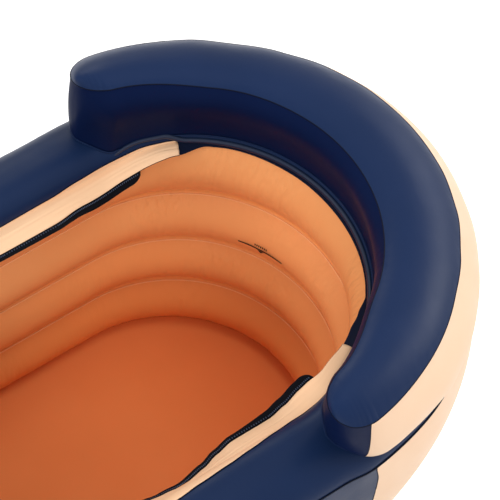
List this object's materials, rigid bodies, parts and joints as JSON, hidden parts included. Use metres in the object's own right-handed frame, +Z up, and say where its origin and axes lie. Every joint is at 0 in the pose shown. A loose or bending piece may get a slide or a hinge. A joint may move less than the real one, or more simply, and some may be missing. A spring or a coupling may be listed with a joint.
{
  "type": "inflatable bathtub",
  "caption": "Oval inflatable bathtub with ribbed inner wall, separate rim ring, horseshoe backrest and a zip-on cover rolled back to its foot half.",
  "frame": {"origin": "bottom centre of the bounding box, on the surface that the tub stands on", "axes": "+X along the tub to its head end with the backrest, +Y across the tub, to the left as one looks to the head end, +Z up"},
  "size_m": [1.6, 0.7722, 0.6112],
  "materials": {
    "navy_film": "soft sheen",
    "peach_film": "soft sheen",
    "orange_film": "soft sheen",
    "inner_film": "milky",
    "flange_sheet": "soft satin",
    "zip_tape": "woven",
    "zip_hardware": "moulded",
    "valve_plastic": "translucent, flexible"
  },
  "bodies": {
    "tub": {"base_sheet": "navy_film", "floor_sheet": "orange_film", "inner_wall": "orange_film", "outer_wall_head": "peach_film", "outer_wall_body": "navy_film", "tension_web_1": "inner_film", "tension_web_2": "inner_film", "tension_web_3": "inner_film", "rim_top": "navy_film", "rim_bottom": "navy_film", "rim_piping": "navy_film", "backrest_base": "navy_film", "backrest_top": "navy_film", "backrest_inner_wall": "navy_film", "backrest_outer_wall": "peach_film", "cover_flange_left": "flange_sheet", "cover_flange_right": "flange_sheet", "zip_tape_left": "zip_tape", "zip_tape_right": "zip_tape", "cover_sheet": "navy_film", "cover_roll": "navy_film", "wall_valve_seat": "valve_plastic", "rim_valve_seat": "valve_plastic", "backrest_valve_seat": "valve_plastic", "drain_pipe": "valve_plastic"},
    "zip_slider_left": {"zip_slider_left": "zip_hardware"},
    "zip_slider_right": {"zip_slider_right": "zip_hardware"},
    "zip_pull_left": {"zip_pull_left": "zip_hardware"},
    "zip_pull_right": {"zip_pull_right": "zip_hardware"},
    "wall_valve_cap": {"wall_valve_cap": "valve_plastic"},
    "rim_valve_cap": {"rim_valve_cap": "valve_plastic"},
    "backrest_valve_cap": {"backrest_valve_cap": "valve_plastic"},
    "drain_cap": {"drain_cap": "valve_plastic"},
    "drain_stopper": {"drain_stopper": "valve_plastic"}
  },
  "joints": [
    {"name": "zip_slide_left", "type": "slide", "parent": "tub", "child": "zip_slider_left", "axis": [1, 0, 0], "range_m": [0, 0.43]},
    {"name": "zip_pull_hinge_left", "type": "hinge", "parent": "zip_slider_left", "child": "zip_pull_left", "pos_m": [-0.1027, 0.21334, 0.4321], "axis": [0, 1, 0], "range_deg": [0, 170]},
    {"name": "zip_slide_right", "type": "slide", "parent": "tub", "child": "zip_slider_right", "axis": [1, 0, 0], "range_m": [0, 0.43]},
    {"name": "zip_pull_hinge_right", "type": "hinge", "parent": "zip_slider_right", "child": "zip_pull_right", "pos_m": [-0.1027, -0.21334, 0.4321], "axis": [0, 1, 0], "range_deg": [0, 170]},
    {"name": "wall_valve_hinge", "type": "hinge", "parent": "tub", "child": "wall_valve_cap", "pos_m": [-0.77638, 0.13975, 0.29659], "axis": [0.3612, 0.9325, 0], "range_deg": [0, 150]},
    {"name": "rim_valve_hinge", "type": "hinge", "parent": "tub", "child": "rim_valve_cap", "pos_m": [-0.70731, -0.18059, 0.46943], "axis": [0.5264, -0.8502, 0], "range_deg": [0, 150]},
    {"name": "backrest_valve_hinge", "type": "hinge", "parent": "tub", "child": "backrest_valve_cap", "pos_m": [0.6609, 0.28109, 0.51586], "axis": [0.7307, -0.6827, 0], "range_deg": [0, 150]},
    {"name": "drain_cap_hinge", "type": "hinge", "parent": "tub", "child": "drain_cap", "pos_m": [-0.76949, 0, 0.0748], "axis": [0, 1, 0], "range_deg": [0, 150]},
    {"name": "drain_stopper_slide", "type": "slide", "parent": "tub", "child": "drain_stopper", "axis": [1, 0, 0], "range_m": [0, 0.05]}
  ]
}
